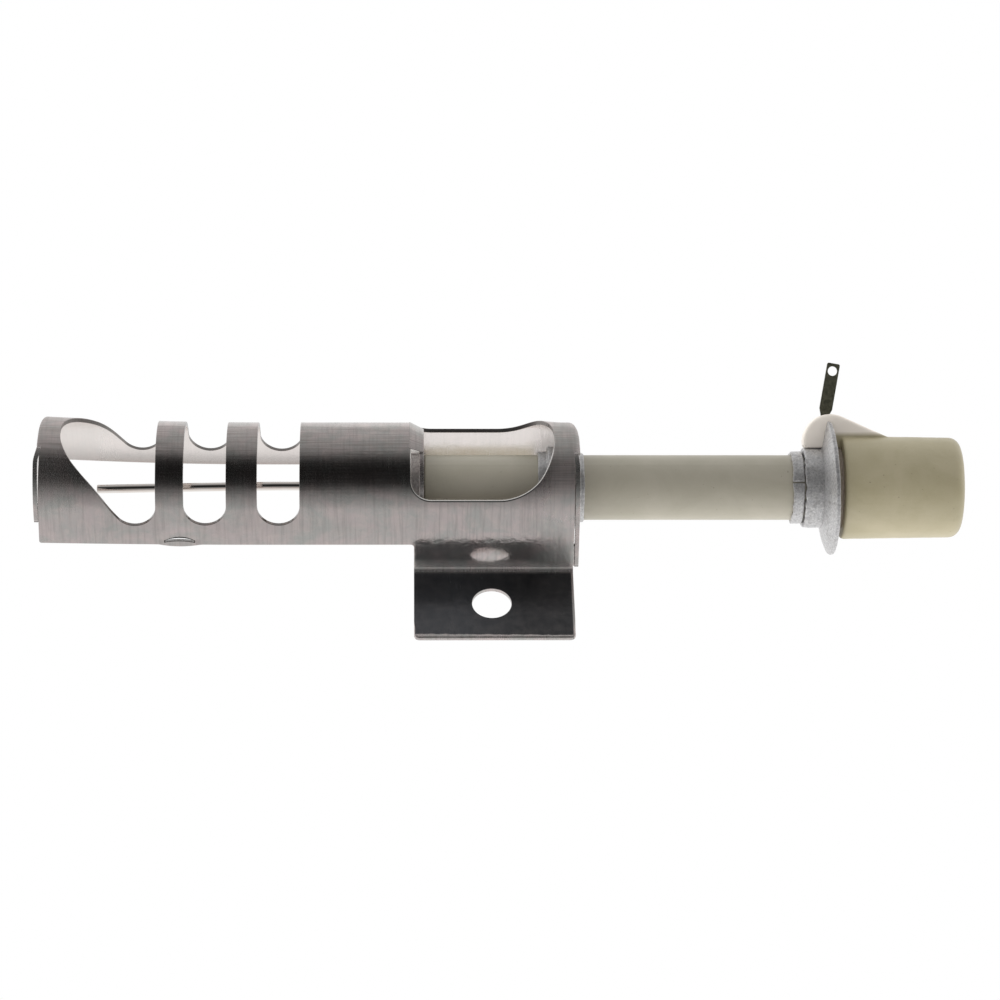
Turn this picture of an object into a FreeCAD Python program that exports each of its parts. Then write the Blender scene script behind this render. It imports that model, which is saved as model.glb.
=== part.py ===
import FreeCAD, Part
import math
import os

from FreeCAD import Placement, Rotation, Vector

# Ignition electrode: a ceramic-insulated rod in a stamped stainless shield.
#
# Frame, in millimetres: the origin is the centre of the foot's fixing hole, on the foot's
# underside. +X runs along the electrode, from the spark end to the ceramic head. +Z is up,
# square to the foot. The foot sticks out to -Y, so -Y is the near side and +Y the far side.

# ------------------------------------------------------------------ driving dimensions

# Shield: one stainless sheet, rolled into an arch that is open underneath. Its far side is
# round, and its near side ends in a straight wall that leans outwards at the bottom.
sheet = 0.8
arch_radius = 11.0
far_edge_angle = -116.0
wall_lean = 13.6
wall_length = 6.0
wall_corner_radius = 0.6
bend_radius = 0.8
shield_axis_y = 21.4
shield_axis_z = 9.2

# Stations along the shield.
arch_start = -79.9
box_start = -13.8
box_end = 14.7
end_gap = 0.15
crown_overhang = 0.8
overhang_skew = 4.7

# Foot, bent out from the near wall between the box stations.
foot_edge_y = -8.2
foot_corner_radius = 1.0
fixing_hole_radius = 3.5

# Insulator: a tube with a thinner nose, a bore and a counterbore for its seal.
axis_drop = 1.0
tube_radius = 5.85
tube_start = -12.0
tube_end = 68.1
nose_radius = 5.2
nose_start = -17.7
ferrule_radius = 6.15
ferrule_start = -16.9
bore_radius = 0.95
counterbore_radius = 1.8
counterbore_depth = 2.5

# Rod, with its tip in the spark gap and its rear end in the crimp sleeve.
rod_radius = 0.78
rod_tip = -70.7
rod_end = 77.8
sleeve_radius = 1.6
sleeve_start = 71.8
sleeve_length = 5.5

# Front bush in the shield's end plate.
bush_radius = 6.5
bush_shoulder_radius = 7.4
bush_start = 8.4
bush_shoulder_start = 10.1
bush_end = 16.7

# Metal rings on the tube in front of the head.
ring_bore_radius = 5.87
split_ring_radius = 6.5
split_ring_start = 54.1
split_ring_end = 56.1
split_width = 0.5
split_angle = 36.0
collar_radius = 7.25
collar_start = 56.3
collar_end = 59.5
disc_radius = 12.15
disc_hub_radius = 7.5
disc_start = 59.55
disc_dish = 1.3
disc_thickness = 1.0

# Ceramic head: a cap with an ear that carries the terminal.
head_start = 63.1
head_end = 84.7
head_radius = 9.3
head_draft = 0.3
head_edge_radius = 2.0
head_cavity_radius = 6.6
head_cavity_end = 79.3
gasket_radius = 7.3
gasket_bore_radius = 5.95
cement_start = 63.3
cement_end = 67.8
terminal_turn = 46.0
ear_centre_x = 61.3
ear_centre_height = 8.3
ear_radius = 4.95
ear_slope = 24.0
ear_thickness = 4.2
ear_clearance_radius = 7.38

# Terminal: a flat stamping, with the blade outside and a slanted leg inside.
blade_thickness = 0.5
blade_width = 2.3
blade_length = 9.45
blade_tilt = 10.0
blade_base_x = 60.4
blade_base_height = 13.1
blade_hole_radius = 0.86
blade_hole_from_tip = 1.4
leg_width = 1.5
leg_end_x = 74.9
passage_clearance = 0.1

# Widths and angles that several features share.
plate_clearance = 0.1
plate_foot_clearance = 1.44
flush_angle = 13.4
slot_centre_angle = -7.0

X_AXIS = Vector(1, 0, 0)
lean = math.radians(wall_lean)
inner_radius = arch_radius - sheet
tangent_angle = math.pi / 2 - lean
tangent_run = arch_radius * tangent_angle
insulator_axis_z = shield_axis_z - axis_drop


# ------------------------------------------------------------------ helpers

def section_point(y, z):
    """A point of a cross-section, in the plane X = 0."""
    return Vector(0, y, z)


def side_point(x, height):
    """A point of a lengthwise section through an axis along X."""
    return Vector(x, 0, height)


def flat_point(x, arc):
    """A point of the flat sheet, before it is rolled."""
    return Vector(x, arc, 0)


def rounded_outline(corners, place):
    """Closed wire through corners (a, b, radius), each rounded by its own radius."""
    joints = []
    for index, (a, b, radius) in enumerate(corners):
        before = corners[index - 1]
        after = corners[(index + 1) % len(corners)]
        corner = Vector(a, b, 0)
        back = (Vector(before[0], before[1], 0) - corner).normalize()
        ahead = (Vector(after[0], after[1], 0) - corner).normalize()
        half = back.getAngle(ahead) / 2
        reach = radius / math.tan(half)
        middle = (back + ahead).normalize() * (radius / math.sin(half) - radius)
        joints.append((corner + back * reach, corner + middle, corner + ahead * reach, radius))
    edges = []
    for index, (start, middle, end, radius) in enumerate(joints):
        if radius:
            arc = Part.Arc(place(*start[:2]), place(*middle[:2]), place(*end[:2]))
            edges.append(arc.toShape())
        following = joints[(index + 1) % len(joints)][0]
        if (following - end).Length > 1e-6:
            edges.append(Part.LineSegment(place(*end[:2]), place(*following[:2])).toShape())
    return Part.Wire(edges)


def sharp(points):
    """The same corners with no rounding."""
    return [(a, b, 0) for a, b in points]


def extruded(corners, x_start, x_end):
    """Solid with a rounded cross-section, from one X station to another."""
    face = Part.Face(rounded_outline(corners, section_point))
    face.translate(Vector(x_start, 0, 0))
    return face.extrude(Vector(x_end - x_start, 0, 0))


def turned(corners, axis_z=insulator_axis_z):
    """Solid of revolution about the axis along X, from corners (x, radius, rounding)."""
    face = Part.Face(rounded_outline(corners, side_point))
    solid = face.revolve(Vector(0, 0, 0), X_AXIS, 360)
    solid.translate(Vector(0, shield_axis_y, axis_z))
    return solid


def tube(start, end, bore, radius, rounding=0.0):
    """Plain ring about the insulator's axis."""
    return turned([(start, bore, 0), (start, radius, rounding),
                   (end, radius, rounding), (end, bore, 0)])


def toward_terminal(shape):
    """Moves a shape drawn about the X axis, with +Z as the ear's height, to its place."""
    place = Placement(Vector(0, shield_axis_y, insulator_axis_z), Rotation(X_AXIS, -terminal_turn))
    moved = shape.copy()
    moved.Placement = place.multiply(moved.Placement)
    return moved


def slab(corners, thickness):
    """Flat plate in the ear's plane, from corners (x, height, rounding)."""
    face = Part.Face(rounded_outline(corners, side_point))
    face.translate(Vector(0, -thickness / 2, 0))
    return face.extrude(Vector(0, thickness, 0))


# ------------------------------------------------------------------ shield

def arch_point(radius, angle, x=0.0):
    """Point on the arch. The angle is from the crown, in radians, positive to the near side."""
    return Vector(x, shield_axis_y - radius * math.sin(angle),
                  shield_axis_z + radius * math.cos(angle))


def rolled_point(radius, run, x=0.0):
    """Point of the rolled sheet, at a distance from the crown measured round its outside."""
    if run <= tangent_run:
        return arch_point(radius, run / arch_radius, x)
    down_the_wall = Vector(0, -math.sin(lean), -math.cos(lean))
    return arch_point(radius, tangent_angle, x) + down_the_wall * (run - tangent_run)


def wall_y(radius, z):
    """Where the near wall, which is tangent to the arch, passes height z."""
    return shield_axis_y - (radius - (z - shield_axis_z) * math.sin(lean)) / math.cos(lean)


def rolled_band(inner, outer, first_angle, last_run, x_start, x_end):
    """Piece of the rolled sheet, from an angle in degrees down to a run past the tangent."""
    first = math.radians(first_angle)
    middle = (first + tangent_angle) / 2
    loop = [Part.Arc(arch_point(outer, first), arch_point(outer, middle),
                     arch_point(outer, tangent_angle))]
    if last_run > tangent_run:
        loop.append(Part.LineSegment(arch_point(outer, tangent_angle),
                                     rolled_point(outer, last_run)))
    loop.append(Part.LineSegment(rolled_point(outer, last_run), rolled_point(inner, last_run)))
    if last_run > tangent_run:
        loop.append(Part.LineSegment(rolled_point(inner, last_run),
                                     arch_point(inner, tangent_angle)))
    loop.append(Part.Arc(arch_point(inner, tangent_angle), arch_point(inner, middle),
                         arch_point(inner, first)))
    loop.append(Part.LineSegment(arch_point(inner, first), arch_point(outer, first)))
    face = Part.Face(Part.Wire([edge.toShape() for edge in loop]))
    face.translate(Vector(x_start, 0, 0))
    return face.extrude(Vector(x_end - x_start, 0, 0))


def near_side_block(x_start, x_end):
    """Everything on the near side of the flush angle, down to the foot."""
    reach = 3 * arch_radius
    edge = arch_point(reach, math.radians(flush_angle))
    return extruded(sharp([(shield_axis_y, shield_axis_z), (edge.y, edge.z),
                           (shield_axis_y - reach, edge.z), (shield_axis_y - reach, -1),
                           (shield_axis_y, -1)]), x_start, x_end)


def overhang_trim(station, side):
    """Block beyond the crown's overhang at one end. The end runs askew, as it was sheared."""
    reach = 4 * arch_radius
    block = Part.makeBox(reach, 2 * reach, reach, Vector(0, -reach, -reach / 2))
    if side < 0:
        block.translate(Vector(-reach, 0, 0))
    block.rotate(Vector(0, 0, 0), Vector(0, 0, 1), side * overhang_skew)
    flush = arch_point(arch_radius, math.radians(flush_angle))
    block.translate(Vector(station, flush.y, shield_axis_z))
    return block


def foot_and_wall():
    """The near wall where it runs down to the foot, with the foot bent out from it."""
    joint = rolled_point(arch_radius, tangent_run + wall_length / 2)
    inside = rolled_point(inner_radius, tangent_run + wall_length / 2)
    return extruded([(foot_edge_y, 0, 0), (foot_edge_y, sheet, 0),
                     (wall_y(arch_radius, sheet), sheet, bend_radius),
                     (joint.y, joint.z, 0), (inside.y, inside.z, 0),
                     (wall_y(inner_radius, 0), 0, bend_radius + sheet)], box_start, box_end)


def wrapped(edge, radius, centre_run):
    """An edge of the flat sheet, rolled into shape at the given radius."""
    places = [rolled_point(radius, centre_run + point.y, point.x)
              for point in edge.discretize(25)]
    curve = Part.BSplineCurve()
    curve.interpolate(places)
    return curve.toShape()


def radial_walls(edges, centre_angle):
    """The cut edges of a window, square to the rolled sheet."""
    run = arch_radius * math.radians(centre_angle)
    return [Part.makeRuledSurface(wrapped(edge, inner_radius - 1, run),
                                  wrapped(edge, arch_radius + 1, run)) for edge in edges]


def mirrored_outline(half):
    """Adds the half on the other side of the window's centreline."""
    return half + [edge.mirror(Vector(0, 0, 0), Vector(0, 1, 0)) for edge in half]


def line(start, end):
    return Part.LineSegment(flat_point(*start), flat_point(*end)).toShape()


def arc(start, middle, end):
    return Part.Arc(flat_point(*start), flat_point(*middle), flat_point(*end)).toShape()


def spline(points, first_direction, last_direction):
    curve = Part.BSplineCurve()
    curve.interpolate(Points=[flat_point(*point) for point in points],
                      InitialTangent=flat_point(*first_direction),
                      FinalTangent=flat_point(*last_direction))
    return curve.toShape()


def spark_window():
    """Large window over the rod's tip: a slanted front edge that ends in a round lobe."""
    front, back = -76.5, -59.5
    lobe_radius, lobe_arc = 3.75, 14.3
    lobe_x = back - lobe_radius
    meet = math.radians(140)
    across = math.radians(70)
    meet_point = (lobe_x + lobe_radius * math.cos(meet), lobe_arc + lobe_radius * math.sin(meet))
    lobe_point = (lobe_x + lobe_radius * math.cos(across),
                  lobe_arc + lobe_radius * math.sin(across))
    speed = 8.0
    slant = spline([(front, 0), (-75.0, 5.4), (-69.9, 11.6), meet_point], (0, speed),
                   (speed * math.sin(meet), -speed * math.cos(meet)))
    lobe = arc(meet_point, lobe_point, (back, lobe_arc))
    half = [slant, lobe, line((back, lobe_arc), (back, 0))]
    return radial_walls(mirrored_outline(half), slot_centre_angle)


def slot(centre_x):
    """Round-ended slot that leaves a narrow band of sheet on either side."""
    half_width, half_length = 3.75, 17.85
    shoulder = half_length - half_width
    left, right = centre_x - half_width, centre_x + half_width
    half = [line((left, 0), (left, shoulder)),
            arc((left, shoulder), (centre_x, half_length), (right, shoulder)),
            line((right, shoulder), (right, 0))]
    return radial_walls(mirrored_outline(half), slot_centre_angle)


def insulator_window():
    """Window over the insulator's front end: square at its front, and rounded at its back."""
    front, back, half_width, corner = -14.3, 11.2, 12.55, 3.6
    curve_start = 1.3
    turn = corner * (1 - math.sqrt(0.5))
    speed = 14.0
    half = [line((front, 0), (front, half_width - corner)),
            arc((front, half_width - corner), (front + turn, half_width - turn),
                (front + corner, half_width)),
            line((front + corner, half_width), (curve_start, half_width)),
            spline([(curve_start, half_width), (8.4, 9.1), (back, 0)], (speed, 0), (0, -speed))]
    return radial_walls(mirrored_outline(half), -5.2)


def end_plate(x_start, x_end, flush_run, floor_z):
    """Plate that fits inside the arch, and is flush with its outside over the near side."""
    inner = inner_radius - plate_clearance
    crown = (shield_axis_y, shield_axis_z + inner / math.sin(lean), inner)
    far_y = 2 * shield_axis_y - wall_y(inner, floor_z)
    inside = extruded([(wall_y(inner, floor_z), floor_z, 0), crown, (far_y, floor_z, 0)],
                      x_start, x_end)
    centre = Vector(x_start, shield_axis_y, shield_axis_z)
    reach = 2 * arch_radius
    kept = Part.makeCylinder(inner, x_end - x_start, centre, X_AXIS).fuse(
        Part.makeBox(x_end - x_start, reach, 2 * reach, centre - Vector(0, reach, reach)))
    flush = rolled_band(inner - 1, arch_radius, flush_angle, flush_run, x_start, x_end)
    return inside.common(kept).fuse(flush)


def rear_end_plate():
    """Plate at the head's side, bent from the near wall, with a hole for the bush."""
    start = box_end + end_gap
    end = start + sheet
    floor_z = plate_foot_clearance
    root_height = 4.2
    tangent = arch_point(arch_radius, tangent_angle)
    floor_run = tangent_run + (tangent.z - floor_z) / math.cos(lean)
    plate = end_plate(start, end, floor_run, floor_z)
    root = extruded(sharp([(wall_y(radius, z), z) for radius, z in (
        (arch_radius, floor_z), (arch_radius, floor_z + root_height),
        (inner_radius, floor_z + root_height), (inner_radius, floor_z))]), box_end - 0.1, end)
    hole = Part.makeCylinder(bush_radius, 4 * sheet,
                             Vector(start - sheet, shield_axis_y, insulator_axis_z), X_AXIS)
    relief_z = floor_z + root_height
    outward = Vector(0, -math.cos(lean), math.sin(lean))
    relief_start = Vector(start - end_gap / 2, wall_y(inner_radius - sheet, relief_z), relief_z)
    relief = Part.makeCylinder(0.35, 3 * sheet, relief_start, outward)
    return plate.fuse(root).cut(hole), relief


def front_end_plate():
    """Half plate that closes the arch at the spark end, bent down from its crown."""
    end = arch_start - 2 * end_gap
    start = end - sheet
    floor_z = shield_axis_z + 1.0
    tangent = arch_point(arch_radius, tangent_angle)
    flush_run = tangent_run + (tangent.z - floor_z) / math.cos(lean)
    plate = end_plate(start, end, flush_run, floor_z)
    root_first, root_last = -45.0, flush_angle
    centre = Vector(start, shield_axis_y, shield_axis_z)
    root = Part.makeCylinder(inner_radius + 0.1, sheet, centre, X_AXIS, root_last - root_first)
    root = root.cut(Part.makeCylinder(inner_radius - sheet, sheet, centre, X_AXIS))
    root.rotate(centre, X_AXIS, root_first)
    return plate.fuse(root)


def support_plate():
    """Tab bent inwards from the window's front edge, with a hole for the nose's ferrule."""
    bend_start, plate_end = -14.35, tube_start
    drop = 1.2
    support_floor_z = 0.85
    face_end = plate_end - sheet
    corners = [(bend_start, inner_radius, 0), (bend_start, arch_radius, 0),
               (plate_end, arch_radius - drop, 0.3), (plate_end, inner_radius - drop, 0),
               (face_end, inner_radius - drop, 0)]
    face = Part.Face(rounded_outline(corners, side_point))
    centre = Vector(0, shield_axis_y, shield_axis_z)
    face.translate(centre)
    first_angle, last_angle = -62.0, 10.0
    face.rotate(centre, X_AXIS, first_angle)
    tab = face.revolve(centre, X_AXIS, last_angle - first_angle)
    disc = Part.makeCylinder(arch_radius - drop, sheet,
                             Vector(face_end, shield_axis_y, shield_axis_z), X_AXIS)
    below = Part.makeBox(2 * sheet, 4 * arch_radius, arch_radius,
                         Vector(face_end - sheet / 2, shield_axis_y - 2 * arch_radius,
                                support_floor_z - arch_radius))
    hole = Part.makeCylinder(ferrule_radius + 0.02, 8,
                             Vector(face_end - 4, shield_axis_y, insulator_axis_z), X_AXIS)
    return tab.fuse(disc).cut(below.fuse(hole))


def spark_target(sheet_solid):
    """Louvre pressed inwards beside the rod: half of a shallow round dent above a slit."""
    centre_x, slit_below_tangent = -55.4, 4.7
    dent_radius, depth = 3.9, 0.7
    slit_length, slit_width = 4.5, 0.25
    ball_radius = (dent_radius ** 2 + depth ** 2) / (2 * depth)
    base = rolled_point(arch_radius, tangent_run + slit_below_tangent, centre_x)
    turn = Placement(base, Rotation(X_AXIS, math.degrees(tangent_angle)))

    def in_place(shape):
        shape.Placement = turn.multiply(shape.Placement)
        return shape

    ball_centre = Vector(0, 0, ball_radius - depth)
    reach = 2 * dent_radius
    behind_the_face = Part.makeBox(2 * reach, reach, 3 * depth, Vector(-reach, 0, -3 * depth))
    hollow = Part.makeSphere(ball_radius, ball_centre).common(behind_the_face)
    skin = Part.makeSphere(ball_radius + sheet, ball_centre).common(behind_the_face).cut(hollow)
    slit = Part.makeBox(slit_length, slit_width, 6, Vector(-slit_length / 2, -slit_width, -3))
    return sheet_solid.cut(in_place(hollow)).fuse(in_place(skin)).cut(in_place(slit))


def through_thickness(edge):
    """Whether an edge of the near wall runs straight through the sheet, along X = box_start."""
    box = edge.BoundBox
    on_station = box.XLength < 1e-6 and abs(box.XMin - box_start) < 1e-6
    corner = rolled_point(arch_radius, tangent_run + wall_length)
    return on_station and abs(edge.Length - sheet) < 1e-4 and abs(box.YMin - corner.y) < 1e-3


def upright_foot_corner(edge):
    box = edge.BoundBox
    upright = box.XLength < 1e-6 and box.YLength < 1e-6 and box.ZLength > sheet / 2
    return upright and abs(box.YMin - foot_edge_y) < 1e-6


def shield():
    last_run = tangent_run + wall_length
    arch = rolled_band(inner_radius, arch_radius, far_edge_angle, last_run,
                       arch_start - 2 * crown_overhang, box_end + 2 * crown_overhang)
    arch = arch.cut(near_side_block(arch_start - 3 * crown_overhang, arch_start))
    arch = arch.cut(near_side_block(box_end, box_end + 3 * crown_overhang))
    arch = arch.cut(overhang_trim(arch_start - crown_overhang, -1))
    arch = arch.cut(overhang_trim(box_end + crown_overhang, 1))
    rolled = arch.fuse(foot_and_wall()).removeSplitter()
    rolled = rolled.makeFillet(wall_corner_radius,
                               [edge for edge in rolled.Edges if through_thickness(edge)])
    rolled = rolled.makeFillet(foot_corner_radius,
                               [edge for edge in rolled.Edges if upright_foot_corner(edge)])
    fixing_hole = Part.makeCylinder(fixing_hole_radius, 4 * sheet, Vector(0, 0, -sheet))
    rolled = spark_target(rolled.cut(fixing_hole))

    cuts = spark_window() + slot(-50.8) + slot(-37.8) + insulator_window()
    pieces, _ = rolled.generalFuse(cuts)
    body = max(pieces.Solids, key=lambda solid: solid.Volume)

    rear_plate, relief = rear_end_plate()
    body = body.multiFuse([rear_plate, front_end_plate(), support_plate()]).cut(relief)
    return body.removeSplitter()


# ------------------------------------------------------------------ insulator and rod

def front_bush():
    plate_face = box_end + end_gap
    return turned([(bush_start, ring_bore_radius, 0), (bush_start, bush_radius, 0.25),
                   (bush_shoulder_start, bush_radius, 0),
                   (bush_shoulder_start, bush_shoulder_radius, 0.3),
                   (plate_face, bush_shoulder_radius, 0), (plate_face, bush_radius, 0),
                   (bush_end, bush_radius, 0.3), (bush_end, ring_bore_radius, 0)])


def insulator_tube():
    return turned([(nose_start, counterbore_radius, 0), (nose_start, nose_radius, 0.6),
                   (tube_start, nose_radius, 0), (tube_start, tube_radius, 0.4),
                   (tube_end, tube_radius, 0.4), (tube_end, bore_radius, 0),
                   (nose_start + counterbore_depth, bore_radius, 0),
                   (nose_start + counterbore_depth, counterbore_radius, 0)])


def nose_ferrule():
    """Metal sleeve on the nose, which rests in the hole of the shield's support plate."""
    return tube(ferrule_start, tube_start - 0.05, nose_radius + 0.02, ferrule_radius, 0.3)


def electrode_rod():
    return turned([(rod_tip, 0, 0), (rod_tip, rod_radius, 0.25), (rod_end, rod_radius, 0.2),
                   (rod_end, 0, 0)])


def front_seal():
    return tube(nose_start + 0.2, nose_start + counterbore_depth, rod_radius, counterbore_radius)


# ------------------------------------------------------------------ rear fitting

def rear_split_ring():
    ring = tube(split_ring_start, split_ring_end, ring_bore_radius, split_ring_radius, 0.15)
    split = Part.makeBox(10, 2 * split_ring_radius, split_width,
                         Vector(split_ring_start - 2, -2 * split_ring_radius, -split_width / 2))
    split.rotate(Vector(0, 0, 0), X_AXIS, -split_angle)
    split.translate(Vector(0, shield_axis_y, insulator_axis_z))
    return ring.cut(split)


def rear_collar():
    return tube(collar_start, collar_end, ring_bore_radius, collar_radius, 0.25)


def flange_disc():
    """Dished disc, notched so that the head's ear passes through it."""
    back = disc_start + disc_thickness
    disc = turned([(disc_start, ring_bore_radius, 0), (disc_start, disc_hub_radius, 0),
                   (disc_start + disc_dish, disc_radius, 0.35), (back + disc_dish, disc_radius, 0.35),
                   (back, disc_hub_radius, 0), (back, ring_bore_radius, 0)])
    notch = Part.makeBox(10, ear_thickness + 0.4, 10,
                         Vector(disc_start - 3, -ear_thickness / 2 - 0.2, ear_clearance_radius))
    return disc.cut(toward_terminal(notch))


def head_gasket():
    return tube(disc_start + disc_thickness, head_start, gasket_bore_radius, gasket_radius)


# ------------------------------------------------------------------ head and terminal

def terminal_outline(margin):
    """Blade, neck and leg as one flat outline, grown on every side by a margin."""
    tilt = math.radians(blade_tilt)
    along = Vector(math.sin(tilt), 0, math.cos(tilt))
    across = Vector(math.cos(tilt), 0, -math.sin(tilt))
    base = Vector(blade_base_x, 0, blade_base_height)
    neck_rise, root_drop = 1.1, 1.2
    leg_half = leg_width / 2 + margin
    blade_half = blade_width / 2 + margin
    leg_end = Vector(leg_end_x, 0, sleeve_radius)
    knee = base - along * root_drop
    leg_line = (leg_end - knee).normalize()
    leg_normal = Vector(-leg_line.z, 0, leg_line.x)

    def at(up, side):
        point = base + along * up + across * side
        return (point.x, point.z)

    def on_leg(origin, side):
        point = origin + leg_normal * side
        return (point.x, point.z)

    corner = 0.3
    blade = [at(0, -leg_half) + (0,), at(neck_rise, -blade_half) + (0,),
             at(blade_length, -blade_half) + (corner,), at(blade_length, blade_half) + (corner,),
             at(neck_rise, blade_half) + (0,), at(0, leg_half) + (0,)]
    leg = [on_leg(leg_end, leg_half) + (0,), on_leg(leg_end, -leg_half) + (0,),
           on_leg(knee, -leg_half) + (0,)]
    return blade + leg, base + along * (blade_length - blade_hole_from_tip)


def terminal_blade():
    outline, hole_centre = terminal_outline(0)
    blade = slab(outline, blade_thickness)
    hole = Part.makeCylinder(blade_hole_radius, 4, hole_centre - Vector(0, 2, 0), Vector(0, 1, 0))
    sleeve_room = Part.makeCylinder(sleeve_radius, sleeve_length, Vector(sleeve_start, 0, 0), X_AXIS)
    return toward_terminal(blade.cut(hole).cut(sleeve_room))


def ear():
    """Round ear with a straight fairing that runs down to the head, drawn in its own plane."""
    slope = math.radians(ear_slope)
    centre = Vector(ear_centre_x, 0, ear_centre_height)
    tangent = centre + Vector(math.sin(slope), 0, math.cos(slope)) * ear_radius
    inside = head_radius - 1.5
    fairing_x = tangent.x + (tangent.z - inside) / math.tan(slope)
    top = centre + Vector(math.sin(slope / 2), 0, math.cos(slope / 2)) * ear_radius
    left = centre - Vector(ear_radius, 0, 0)
    bottom = centre - Vector(0, 0, ear_radius)
    low_left = centre - Vector(math.sqrt(0.5), 0, math.sqrt(0.5)) * ear_radius
    up_left = centre + Vector(-math.sqrt(0.5), 0, math.sqrt(0.5)) * ear_radius
    edges = [Part.Arc(bottom, low_left, left), Part.Arc(left, up_left, top),
             Part.Arc(top, centre + Vector(math.sin(slope * 0.75), 0, math.cos(slope * 0.75))
                      * ear_radius, tangent),
             Part.LineSegment(tangent, Vector(fairing_x, 0, inside)),
             Part.LineSegment(Vector(fairing_x, 0, inside), Vector(fairing_x, 0, bottom.z)),
             Part.LineSegment(Vector(fairing_x, 0, bottom.z), bottom)]
    face = Part.Face(Part.Wire([edge.toShape() for edge in edges]))
    face.translate(Vector(0, -ear_thickness / 2, 0))
    plate = face.extrude(Vector(0, ear_thickness, 0))
    rim = [edge for edge in plate.Edges if edge.BoundBox.YLength < 1e-6
           and edge.BoundBox.ZMax > ear_centre_height]
    plate = plate.makeFillet(0.5, rim)
    rings = Part.makeCylinder(ear_clearance_radius, head_start - 40, Vector(40, 0, 0), X_AXIS)
    core = Part.makeCylinder(head_cavity_radius + 0.5, 40, Vector(50, 0, 0), X_AXIS)
    return toward_terminal(plate.cut(rings).cut(core))


def insulator_head():
    cap = turned([(head_start, head_cavity_radius, 0), (head_start, head_radius, 0.5),
                  (head_end, head_radius - head_draft, head_edge_radius), (head_end, 0, 0),
                  (head_cavity_end, 0, 0), (head_cavity_end, head_cavity_radius, 0.5)])
    passage_outline, _ = terminal_outline(passage_clearance)
    passage = toward_terminal(slab(passage_outline, blade_thickness + 2 * passage_clearance))
    return cap.fuse(ear()).cut(passage).removeSplitter()


def head_cement():
    return tube(cement_start, cement_end, tube_radius, head_cavity_radius)


def rod_crimp_sleeve():
    return tube(sleeve_start, sleeve_start + sleeve_length, rod_radius, sleeve_radius, 0.2)


# ------------------------------------------------------------------ output

PARTS = {
    "shield": shield,
    "front_bush": front_bush,
    "insulator_tube": insulator_tube,
    "nose_ferrule": nose_ferrule,
    "electrode_rod": electrode_rod,
    "front_seal": front_seal,
    "rear_split_ring": rear_split_ring,
    "rear_collar": rear_collar,
    "flange_disc": flange_disc,
    "head_gasket": head_gasket,
    "insulator_head": insulator_head,
    "head_cement": head_cement,
    "rod_crimp_sleeve": rod_crimp_sleeve,
    "terminal_blade": terminal_blade,
}

os.makedirs("parts", exist_ok=True)
for name, build in PARTS.items():
    shape = build()
    print(name, shape.isValid(), len(shape.Solids), round(shape.Volume, 2), flush=True)
    shape.exportStep("parts/" + name + ".step")
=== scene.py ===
from math import acos, atan2, ceil, cos, degrees, dist, exp, hypot, pi, radians, sin, tan

import bpy
from mathutils import Matrix, Vector, noise
from mathutils.geometry import delaunay_2d_cdt


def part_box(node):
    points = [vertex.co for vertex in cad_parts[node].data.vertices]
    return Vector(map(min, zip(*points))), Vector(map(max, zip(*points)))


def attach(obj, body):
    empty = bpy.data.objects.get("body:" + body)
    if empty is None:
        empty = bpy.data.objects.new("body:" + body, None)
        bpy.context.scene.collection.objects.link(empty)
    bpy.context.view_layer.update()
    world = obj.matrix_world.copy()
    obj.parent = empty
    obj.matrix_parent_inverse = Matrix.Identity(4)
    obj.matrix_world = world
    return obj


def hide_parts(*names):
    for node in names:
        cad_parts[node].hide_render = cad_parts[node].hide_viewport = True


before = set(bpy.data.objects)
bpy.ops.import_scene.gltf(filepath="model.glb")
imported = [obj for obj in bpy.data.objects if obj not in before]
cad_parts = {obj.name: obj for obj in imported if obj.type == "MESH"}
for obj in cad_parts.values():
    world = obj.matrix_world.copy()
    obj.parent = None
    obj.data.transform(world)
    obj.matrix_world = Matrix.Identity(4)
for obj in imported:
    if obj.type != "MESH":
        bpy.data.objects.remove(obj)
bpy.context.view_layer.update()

# Looks of the ignition electrode. Lengths here are in millimetres, and are turned into metres
# only where a mesh is made. Places come from the frame, and shapes from the sizes below.

MM = 0.001


def box_mm(node):
    low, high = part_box(node)
    return low / MM, high / MM


shield_low, shield_high = box_mm("shield")
tube_low, tube_high = box_mm("insulator_tube")
disc_low, disc_high = box_mm("flange_disc")
collar_low, collar_high = box_mm("rear_collar")
ring_low, ring_high = box_mm("rear_split_ring")
bush_low, bush_high = box_mm("front_bush")
rod_low, rod_high = box_mm("electrode_rod")
ferrule_low, ferrule_high = box_mm("nose_ferrule")

# The axis of the insulator, and the shield's own axis above it.
axis_y = (tube_low.y + tube_high.y) / 2
core_z = (tube_low.z + tube_high.z) / 2
SHEET = 0.8
ARCH_RADIUS = shield_high.y - axis_y
arch_z = shield_high.z - ARCH_RADIUS

# Rolled sheet: angles are from the crown, in radians, positive to the near side.
LEAN = radians(13.6)
WALL_UP = Vector((0, sin(LEAN), cos(LEAN)))
WALL_OUT = Vector((0, -cos(LEAN), sin(LEAN)))
TANGENT_ANGLE = pi / 2 - LEAN
TANGENT_RUN = ARCH_RADIUS * TANGENT_ANGLE
FAR_RUN = -ARCH_RADIUS * radians(116.0)
FLUSH_RUN = ARCH_RADIUS * radians(13.4)
WALL_LENGTH = 6.0
BEND_RADIUS = 0.8
BOX_START, BOX_END = -13.8, 14.7
ARCH_START = -79.9
OVERHANG = 0.8
WINDOW_ANGLE = radians(-7.0)
LONG_WINDOW_ANGLE = radians(-5.2)
FIXING_HOLE_RADIUS = 3.5
EDGE_ROUNDING = 0.1
RING_BORE = 5.87

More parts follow.
